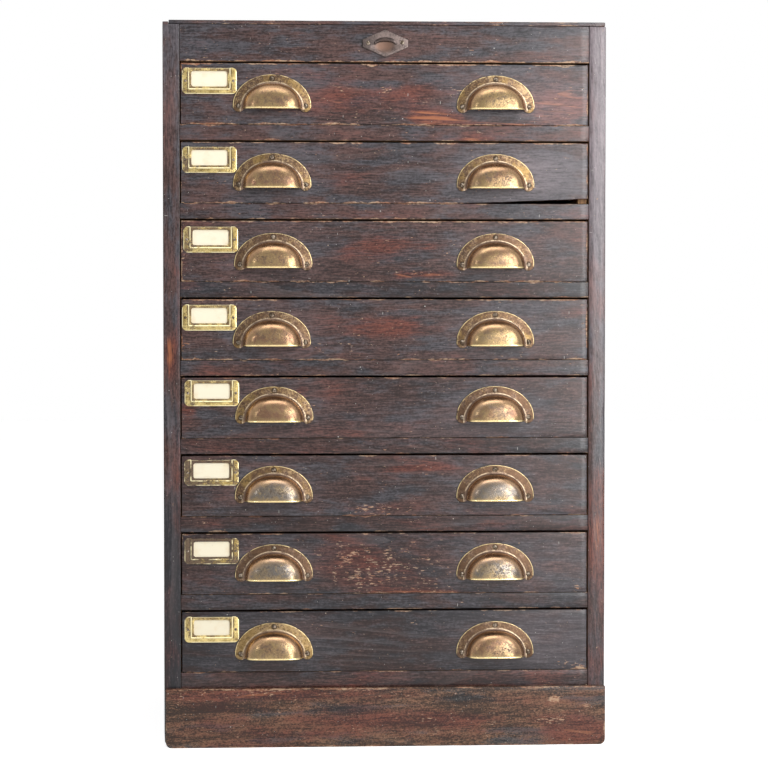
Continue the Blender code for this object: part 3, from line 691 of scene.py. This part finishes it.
def wooden(node, boards, material, body, name=None, halos=()):
    """The piece for a CAD node, of one or more boards, with the fields that the pine materials read."""
    name = name or node
    points, faces, start = [], [], 0
    for board in boards:
        points.append(board["points"])
        faces += [tuple(i + start for i in face) for face in board["faces"]]
        start += len(board["points"])
    points = np.concatenate(points)
    mesh = bpy.data.meshes.new(name)
    mesh.from_pydata(points.tolist(), [], faces)
    face_outward(mesh)
    for field in ("grain", "low", "high"):
        set_field(mesh, field, np.concatenate([board[field] for board in boards]))
    set_field(mesh, "tone", np.tile(TONES.get(node, PLAIN_TONE), (len(points), 1)))
    marks = np.zeros((len(points), 3))
    for x, z, half_x, half_z, red, rub, dust_sheen_shade in [*PATCHES.get(node, ()), *halos]:
        fade = ((points[:, 0] / MM - x) / half_x) ** 2 + ((points[:, 2] / MM - z) / half_z) ** 2
        marks += np.exp(-fade ** 1.5)[:, None] * np.array((red, rub, dust_sheen_shade))
    set_field(mesh, "patch", marks)
    bare, index = [], 0
    for board in boards:
        for _ in board["faces"]:
            face = mesh.polygons[index]
            bare.append(float(board["raw"](face.center, face.normal)) if board["raw"] else 0.0)
            index += 1
    set_field(mesh, "raw", bare, "FLOAT", "FACE")
    return dress(name, mesh, material, body, [node])


def everywhere(centre, normal):
    """The rule of a board that is bare all over."""
    return True


def primitive(make, **sizes):
    """A mesh of one of bmesh's own shapes."""
    bm = bmesh.new()
    make(bm, **sizes)
    mesh = bpy.data.meshes.new("primitive")
    bm.to_mesh(mesh)
    bm.free()
    return mesh


def baked(obj):
    """The mesh of a helper object with its modifiers applied, welded; the helper is removed."""
    bpy.context.view_layer.update()
    mesh = bpy.data.meshes.new_from_object(obj.evaluated_get(bpy.context.evaluated_depsgraph_get()))
    face_outward(mesh, WELD)
    bpy.data.objects.remove(obj)
    return mesh


def combined(base, *steps):
    """base with each (operation, mesh) applied to it in turn."""
    obj = linked("helper", base)
    tools = []
    for operation, mesh in steps:
        tool = linked("helper", mesh)
        modifier = obj.modifiers.new("step", "BOOLEAN")
        modifier.operation = operation
        modifier.object = tool
        tools.append(tool)
    mesh = baked(obj)
    for tool in tools:
        bpy.data.objects.remove(tool)
    return mesh


def arc(centre, radius_x, radius_y, start, end, steps):
    angles = [math.radians(start + (end - start) * i / steps) for i in range(steps + 1)]
    return [(centre[0] + radius_x * math.cos(a), centre[1] + radius_y * math.sin(a)) for a in angles]


def plate(outlines, back, front, edge):
    """A flat plate in front of the plane y = back, in millimetres, with rounded edges."""
    curve = bpy.data.curves.new("plate", "CURVE")
    curve.dimensions = "2D"
    curve.fill_mode = "BOTH"
    curve.bevel_depth = edge
    curve.bevel_resolution = 2
    curve.offset = -edge
    curve.extrude = abs(front - back) / 2 - edge
    for outline in outlines:
        spline = curve.splines.new("POLY")
        spline.points.add(len(outline) - 1)
        for point, (x, z) in zip(spline.points, outline):
            point.co = (x, z, 0, 1)
        spline.use_cyclic_u = True
    mesh = baked(linked("helper", curve))
    mesh.transform(Matrix.Translation((0, (front + back) / 2, 0)) @ Matrix.Rotation(math.pi / 2, 4, "X"))
    return mesh


def bead(route, radius, taper=None):
    """A round bead along a route of points, with closed ends."""
    curve = bpy.data.curves.new("bead", "CURVE")
    curve.dimensions = "3D"
    curve.bevel_depth = radius
    curve.bevel_resolution = 3
    curve.use_fill_caps = True
    spline = curve.splines.new("POLY")
    spline.points.add(len(route) - 1)
    for i, (point, place) in enumerate(zip(spline.points, route)):
        point.co = (*place, 1)
        point.radius = taper(i / (len(route) - 1)) if taper else 1.0
    return baked(linked("helper", curve))


def placed(mesh, place, tone=None, browned=None):
    """A copy of a millimetre mesh moved to its place in metres, keeping its own coordinates as fields."""
    mesh = mesh.copy()
    local = np.zeros(len(mesh.vertices) * 3, np.float32)
    mesh.vertices.foreach_get("co", local)
    set_field(mesh, "spot", local)
    mesh.transform(Matrix.Translation(place) @ Matrix.Scale(MM, 4))
    world = np.zeros(len(mesh.vertices) * 3, np.float32)
    mesh.vertices.foreach_get("co", world)
    set_field(mesh, "place", world)
    if tone is not None:
        set_field(mesh, "tone", np.tile(tone, (len(mesh.vertices), 1)))
    if browned is not None:
        set_field(mesh, "browned", np.full(len(mesh.vertices), browned), "FLOAT")
    return mesh


def merged(meshes):
    """Several meshes with the same fields as one."""
    holder, *others = [linked("helper", mesh) for mesh in meshes]
    with bpy.context.temp_override(active_object=holder, selected_editable_objects=[holder, *others]):
        bpy.ops.object.join()
    mesh = holder.data
    bpy.data.objects.remove(holder)
    return mesh


# Carcass


def make_side(node, sign):
    """One side, rounded off at the floor; the left one has a lip beside the top board."""
    low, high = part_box(node)
    top_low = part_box("top_board")[0]
    back_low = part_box("back_board_1")[0]
    ledge = top_low.z - SEAT
    foot_radius = 10 * MM
    outer, inner = (low.x, high.x) if sign < 0 else (high.x, low.x)
    rebate_x = -sign * (back_low.x - SEAT)
    rebate_y = back_low.y - SEAT

    def outline(z):
        room = max(0.0, foot_radius - z)
        skin = outer - sign * (foot_radius - math.sqrt(foot_radius ** 2 - room ** 2))
        shape = [(skin, low.y), (inner, low.y), (inner, rebate_y), (rebate_x, rebate_y),
                 (rebate_x, high.y), (skin, high.y)]
        return shape if sign < 0 else shape[::-1]

    def bare(centre, normal):
        return normal.x * sign < -0.5 and centre.y > low.y + 4 * MM

    front = 0 if sign < 0 else 4
    rounding = [foot_radius * share for share in (0.1, 0.25, 0.45, 0.7)]
    boards = [timber(Z, low, (high.x, high.y, ledge), seed=11 + sign, outline=outline, radius=1.2 * MM,
                     spacing=18 * MM, extra=rounding, splits={front: 2}, raw=bare)]
    if sign < 0:
        sunk = Vector((0.1, 0.1, 0.1)) * MM
        lip_low = Vector((low.x, low.y, ledge - 2 * MM)) + sunk
        lip_high = Vector((top_low.x - SEAT, high.y, high.z)) - sunk
        boards.append(timber(Z, lip_low, lip_high, seed=9, radius=0.8 * MM, nick=1.0 * MM))
    wooden(node, boards, fine_pine, "carcass")


def make_shelf(node, seed):
    """A divider, the bottom board or the top rail, between the sides."""
    side_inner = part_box("right_side")[0].x
    low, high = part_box(node)
    low.x, high.x = SEAT / 2 - side_inner, side_inner - SEAT / 2
    if node == "bottom_board":
        low.z -= PLINTH_LAP

    def bare(centre, normal):
        return centre.y > low.y + 3 * MM and abs(normal.z) > 0.5 or normal.y > 0.5

    board = timber(X, low, high, seed, radius=0.8 * MM, nick=2.2 * MM, splits={3: 2}, raw=bare,
                   open_ends=True)
    wooden(node, [board], fine_pine, "carcass")


def make_top_board():
    low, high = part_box("top_board")
    board = timber(X, low, high, seed=52, radius=1.0 * MM, nick=2.0 * MM)
    wooden("top_board", [board], fine_pine, "carcass")


def make_back():
    for number in range(1, 5):
        node = f"back_board_{number}"
        low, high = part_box(node)
        low.x -= SEAT / 2
        high.x += SEAT / 2
        board = timber(Z, low, high, seed=60 + number, spacing=25 * MM, raw=everywhere)
        wooden(node, [board], fine_pine, "carcass")
    for seed, node in ((66, "kicker_left"), (67, "kicker_right")):
        low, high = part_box(node)
        board = timber(Y, low, high, seed, raw=everywhere)
        wooden(node, [board], fine_pine, "carcass")


def make_plinth():
    """The coarse board across the foot, rounded at its two lower corners."""
    low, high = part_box("plinth_front")
    corner = 8 * MM

    def outline(x):
        room = min(x - low.x, high.x - x)
        lift = corner - math.sqrt(max(0.0, corner ** 2 - (corner - room) ** 2)) if room < corner else 0.0
        foot = low.z + lift * 0.999
        return [(low.y, foot), (high.y, foot), (high.y, high.z), (low.y, high.z)]

    ends = [side + sign * corner * share for share in (0.12, 0.3, 0.55, 0.8)
            for side, sign in ((low.x, 1), (high.x, -1))]
    board = timber(X, low, high, seed=71, outline=outline, radius=1.3 * MM, nick=3.2 * MM, spacing=8 * MM,
                   extra=ends, splits={3: 8})
    wooden("plinth_front", [board], coarse_pine, "carcass")


def make_thumb_plate():
    """A lozenge with a scooped dish under a raised brow, in millimetres from its middle."""
    low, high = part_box("thumb_plate")
    centre = Vector(((low.x + high.x) / 2, high.y, (low.z + high.z) / 2))
    half, end, top = 30.0, 5.0, 18.0
    outline = [(half, -end), (half, end), (0, top), (-half, end), (-half, -end), (0, -top)]
    base = plate([outline], 0, -2.5, 0.9)
    dish = primitive(bmesh.ops.create_uvsphere, u_segments=40, v_segments=20, radius=1)
    dish.transform(Matrix.Translation((0, -3.2, -3.4)) @ Matrix.Diagonal((13.5, 2.2, 9.0, 1)))
    brow = bead([(x, -2.4, z) for x, z in arc((0, -2.0), 14.0, 7.0, 4, 176, 28)], 3.1,
                lambda t: 0.45 + 0.55 * math.sin(math.pi * t))
    mesh = combined(base, ("DIFFERENCE", dish), ("UNION", brow))
    dress("thumb_plate_bronze", placed(mesh, centre), bronze, "carcass", ["thumb_plate"])
    screw_places = ((-22.5, -2.3, 0.4), (22.0, -2.3, 1.2))
    heads = [placed(screw_shape, centre + Vector(place) * MM) for place in screw_places]
    dress("thumb_plate_screws", merged(heads), screws, "carcass")


# Drawers


def screw_head():
    """A slotted raised head, sunk a little behind y = 0, in millimetres."""
    ball = primitive(bmesh.ops.create_uvsphere, u_segments=16, v_segments=10, radius=1)
    ball.transform(Matrix.Diagonal((2.9, 1.0, 2.9, 1)))
    slot = primitive(bmesh.ops.create_cube, size=1)
    turn = Matrix.Rotation(0.6, 4, "Y")
    slot.transform(Matrix.Translation((0, -0.95, 0)) @ turn @ Matrix.Diagonal((7, 1.0, 0.9, 1)))
    return combined(ball, ("DIFFERENCE", slot))


def cup_pull():
    """Half-round hood on a crescent flange, in millimetres: a flared foot, square shoulders, a rolled lip."""
    flare_x, flare_y, flare_z = 3.0, 2.4, 3.6
    flare_steps, hood_steps, around = 7, 15, 48
    rings = [(HOOD_HALF + flare_x + 0.3, HOOD_RISE + flare_z + 0.3, 0.8)]
    for step in range(flare_steps + 1):
        angle = math.pi / 2 * step / flare_steps
        share = 1 - math.sin(angle)
        y = 1.9 + flare_y * (1 - math.cos(angle))
        rings.append((HOOD_HALF + flare_x * share, HOOD_RISE + flare_z * share, y))
    foot = rings[-1][2]
    for step in range(1, hood_steps):
        angle = math.pi / 2 * step / hood_steps
        side = HOOD_HALF * math.cos(angle) ** (2 / 4.6)
        crown = HOOD_RISE * math.cos(angle) ** (2 / 2.5)
        rings.append((side, crown, foot + (HOOD_REACH - foot) * math.sin(angle) ** (2 / 2.6)))
    turns = [math.pi * i / around for i in range(around + 1)]
    fullness = [(abs(math.cos(t)) ** 2.2 + math.sin(t) ** 2.2) ** (-1 / 2.2) for t in turns]
    points, faces = [], []
    for side, crown, y in rings:
        for turn, full in zip(turns, fullness):
            points.append((side * full * math.cos(turn), -y, HOOD_FOOT + crown * full * math.sin(turn)))
    points.append((0, -HOOD_REACH, HOOD_FOOT))
    for ring in range(len(rings) - 1):
        for i in range(around):
            base = ring * (around + 1) + i
            faces.append((base, base + 1, base + around + 2, base + around + 1))
    last = (len(rings) - 1) * (around + 1)
    faces += [(last + i, last + i + 1, len(points) - 1) for i in range(around)]
    mesh = bpy.data.meshes.new("hood")
    mesh.from_pydata(points, [], faces)
    shell = linked("helper", mesh)
    wall = shell.modifiers.new("wall", "SOLIDIFY")
    wall.thickness = 1.5
    wall.offset = -1
    wall.use_quality_normals = True
    hood = baked(shell)
    lip_y, lip_z = 0.4, HOOD_FOOT + 0.7
    half_lip = [(side - 0.5, lip_y - y, lip_z) for side, crown, y in rings[flare_steps + 1:]]
    route = half_lip + [(0, lip_y - HOOD_REACH, lip_z)] + [(-x, y, z) for x, y, z in reversed(half_lip)]
    lip = bead(route, 1.15)
    ear, ear_z = 7.75, -0.55
    outer = arc((0, 0), FLANGE_HALF, FLANGE_RISE, 0, 180, 48)
    left = arc((ear - FLANGE_HALF, ear_z), ear, ear, 180, 360, 12)
    inner = arc((0, 0), 35.5, 27, 180, 0, 40)
    right = arc((FLANGE_HALF - ear, ear_z), ear, ear, 180, 360, 12)
    flange = plate([outer + left + inner + right], 0, -2.0, 0.55)
    return combined(flange, ("UNION", hood), ("UNION", lip))


def rounded_box(left, foot, right, top, radius):
    """Corners of an upright box in turn, each rounded."""
    points = arc((right - radius, top - radius), radius, radius, 0, 90, 5)
    points += arc((left + radius, top - radius), radius, radius, 90, 180, 5)
    points += arc((left + radius, foot + radius), radius, radius, 180, 270, 5)
    points += arc((right - radius, foot + radius), radius, radius, 270, 360, 5)
    return points


def card_frame():
    """A stamped frame with a pocket open at the top, in millimetres: rim, cover with a window, bead."""
    side, low, high = FRAME_HALF - FRAME_CORNER, FRAME_CORNER, FRAME_RISE - FRAME_CORNER
    outline = []
    for x, z, start in ((side, high, 90), (side, low, 0), (-side, low, 270), (-side, high, 180)):
        outline += arc((x, z), FRAME_CORNER, FRAME_CORNER, start, start - 90, 6)
    outline += [(-POCKET_HALF, FRAME_RISE), (-POCKET_HALF, POCKET_FOOT)]
    outline += [(POCKET_HALF, POCKET_FOOT), (POCKET_HALF, FRAME_RISE)]
    rim = plate([outline], 0, -1.3, 0.3)
    window = rounded_box(-23.5, 9.5, 23.5, 29.5, 3.0)
    cover = plate([rounded_box(-27.8, 5.2, 27.8, 33.4, 1.2), window], -1.0, -2.0, 0.25)
    turn = 1.5
    route = arc((-25.4, 7.6), turn, turn, 180, 270, 5) + arc((25.4, 7.6), turn, turn, 270, 360, 5)
    route = [(-26.9, 33.2), *route, (26.9, 33.2)]
    ridge = bead([(x, -1.75, z) for x, z in route], 0.95)
    return combined(rim, ("UNION", cover), ("UNION", ridge))


def card():
    """A slightly bowed paper card, in millimetres, with its front at about y = 0."""
    mesh = primitive(bmesh.ops.create_grid, x_segments=16, y_segments=8, size=1)
    mesh.transform(Matrix.Rotation(math.pi / 2, 4, "X") @ Matrix.Diagonal((CARD_HALF, CARD_RISE, 1, 1)))
    for vertex in mesh.vertices:
        x, _, z = vertex.co
        bow = 0.12 * math.cos(x / CARD_HALF * 2.2)
        vertex.co.y = bow + 0.06 * noise.noise(Vector((x * 0.1, z * 0.15, 4.2)))
    sheet = linked("helper", mesh)
    thick = sheet.modifiers.new("thick", "SOLIDIFY")
    thick.thickness = 0.3
    return baked(sheet)


def make_front(number):
    """A drawer front, rebated at its ends; the broken one rises at its lower right."""
    node = f"drawer_{number}_front"
    low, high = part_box(node)
    lap_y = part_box(f"drawer_{number}_tray")[0].y - SEAT
    lap_x = high.x - LAP_WIDTH

    def outline(x):
        back = lap_y if abs(x) > lap_x else high.y
        foot = low.z
        broken = x - (high.x - BREAK_LENGTH)
        if number == BROKEN_DRAWER and broken > 0:
            ragged = 0.5 * MM * noise.noise(Vector((x * 70, 3.1, 8.8)))
            foot += broken / BREAK_LENGTH * BREAK_RISE + ragged
        return [(low.y, foot), (back, foot), (back, high.z), (low.y, high.z)]

    def bare(centre, normal):
        return normal.y > 0.5

    step = 0.05 * MM
    extra = [sign * (lap_x + side * step) for sign in (-1, 1) for side in (-1, 1)]
    board = timber(X, low, high, seed=80 + number, outline=outline, nick=2.2 * MM, spacing=7 * MM,
                   extra=extra, splits={3: 8}, raw=bare)
    halos = [(x, low.z / MM + 40, 66, 42, 0, 0, 0.22) for x in (-146, 145)]
    wooden(node, [board], fine_pine, f"drawer_{number}", halos=halos)


def make_tray(number):
    """A drawer's two sides, back and bottom."""
    node = f"drawer_{number}_tray"
    low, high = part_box(node)
    wall, rise, thick = 12 * MM, 8 * MM, 6 * MM
    gap = 0.05 * MM
    left, right = low.x + wall, high.x - wall
    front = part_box(f"drawer_{number}_front")[1].y + gap
    rear = high.y - 10 * MM
    bottom_top = low.z + rise + thick
    spans = [
        (Y, low, (left, high.y, high.z)),
        (Y, (right, low.y, low.z), high),
        (X, (left + gap, rear - wall, bottom_top + gap), (right - gap, rear, high.z - 4 * MM)),
    ]
    seed = 100 + number * 5
    boards = [timber(axis, start, end, seed + i, spacing=30 * MM, raw=everywhere)
              for i, (axis, start, end) in enumerate(spans)]
    boards.append(timber(X, (left + gap, front, low.z + rise), (right - gap, rear, bottom_top), seed + 3,
                         nick=0.2 * MM, spacing=30 * MM, raw=everywhere))
    wooden(node, boards, fine_pine, f"drawer_{number}", f"{node}_boards")


def make_fittings(number):
    """A drawer's two cup pulls, card frame, card and screws."""
    body = f"drawer_{number}"
    heads = []
    for side in ("left", "right"):
        node = f"{body}_pull_{side}"
        low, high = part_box(node)
        place = Vector(((low.x + high.x) / 2, high.y, low.z + PULL_DROP * MM))
        *tone, browned = PULL_TONES[side][number - 1]
        dress(f"{node}_brass", placed(pull_shape, place, tone, browned), brass, body, [node])
        for x, z in ((-EAR_SCREW_X, EAR_SCREW_Z), (EAR_SCREW_X, EAR_SCREW_Z), (0, CROWN_SCREW_Z)):
            heads.append(placed(screw_shape, place + Vector((x, PULL_SCREW_Y, z)) * MM))
    node = f"{body}_card_frame"
    low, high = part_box(node)
    place = Vector(((low.x + high.x) / 2, high.y, low.z))
    tone = (FRAME_DIRT[number - 1], 0, 0)
    dress(f"{node}_brass", placed(frame_shape, place, tone), yellow_brass, body, [node])
    card_place = place + Vector((0, CARD_Y, CARD_Z)) * MM
    dress(f"{body}_card", placed(card_shape, card_place), paper, body)
    for x in (-FRAME_SCREW_X, FRAME_SCREW_X):
        heads.append(placed(small_screw_shape, place + Vector((x, FRAME_SCREW_Y, FRAME_SCREW_Z)) * MM))
    dress(f"{body}_screws", merged(heads), screws, body)


# Stage


def make_floor():
    mesh = primitive(bmesh.ops.create_circle, cap_ends=True, segments=64, radius=9)
    floor = linked("floor", mesh)
    g = Graph(bpy.data.materials.new("pale_floor"))
    g.feed(g.shader.inputs["Base Color"], FLOOR_COLOUR)
    g.feed(g.shader.inputs["Roughness"], 0.9)
    g.feed(g.shader.inputs["Emission Color"], (1, 1, 1))
    g.feed(g.shader.inputs["Emission Strength"], g.seen() * FLOOR_GLOW)
    mesh.materials.append(g.owner)


def make_world():
    """White to the eye and in reflections, dimmer as a lamp."""
    world = bpy.data.worlds.new("studio")
    g = Graph(world, "Background")
    g.feed(g.shader.inputs["Color"], (1, 1, 1))
    g.feed(g.shader.inputs["Strength"], g.seen() * (1 - WORLD_LIGHT) + WORLD_LIGHT)
    bpy.context.scene.world = world


def soft_light(name, place, aim, size, power):
    lamp = bpy.data.lights.new(name, "AREA")
    lamp.shape = "RECTANGLE"
    lamp.size, lamp.size_y = size
    lamp.energy = power
    obj = linked(name, lamp)
    obj.location = place
    obj.rotation_mode = "QUATERNION"
    obj.rotation_quaternion = (Vector(aim) - Vector(place)).to_track_quat("-Z", "Y")


def make_camera():
    camera = bpy.data.cameras.new("photograph")
    camera.lens = CAMERA_LENS
    camera.sensor_width = CAMERA_SENSOR
    obj = linked("photograph", camera)
    obj.location = CAMERA_PLACE
    obj.rotation_euler = (math.radians(CAMERA_PITCH), 0, math.radians(CAMERA_YAW))
    bpy.context.scene.camera = obj


# The whole scene

fine_pine = pine("stained_pine_fine", FINE_STAIN, 0.2)
coarse_pine = pine("stained_pine_coarse", COARSE_STAIN, 1.0)
brass = pull_brass()
yellow_brass = frame_brass()
bronze = dull_bronze()
screws = screw_metal()
paper = card_paper()

screw_shape = screw_head()
small_screw_shape = screw_shape.copy()
small_screw_shape.transform(Matrix.Diagonal((0.66, 0.75, 0.66, 1)))
pull_shape = cup_pull()
frame_shape = card_frame()
card_shape = card()

make_side("left_side", -1)
make_side("right_side", 1)
for order, shelf in enumerate(("bottom_board", "top_rail", *(f"divider_{n}" for n in range(1, 8)))):
    make_shelf(shelf, 30 + order)
make_top_board()
make_back()
make_plinth()
make_thumb_plate()
for drawer in DRAWERS:
    make_front(drawer)
    make_tray(drawer)
    make_fittings(drawer)

make_floor()
make_world()
for lamp_name, settings in LAMPS.items():
    soft_light(lamp_name, *settings)
make_camera()
bpy.context.scene.view_settings.view_transform = "Standard"
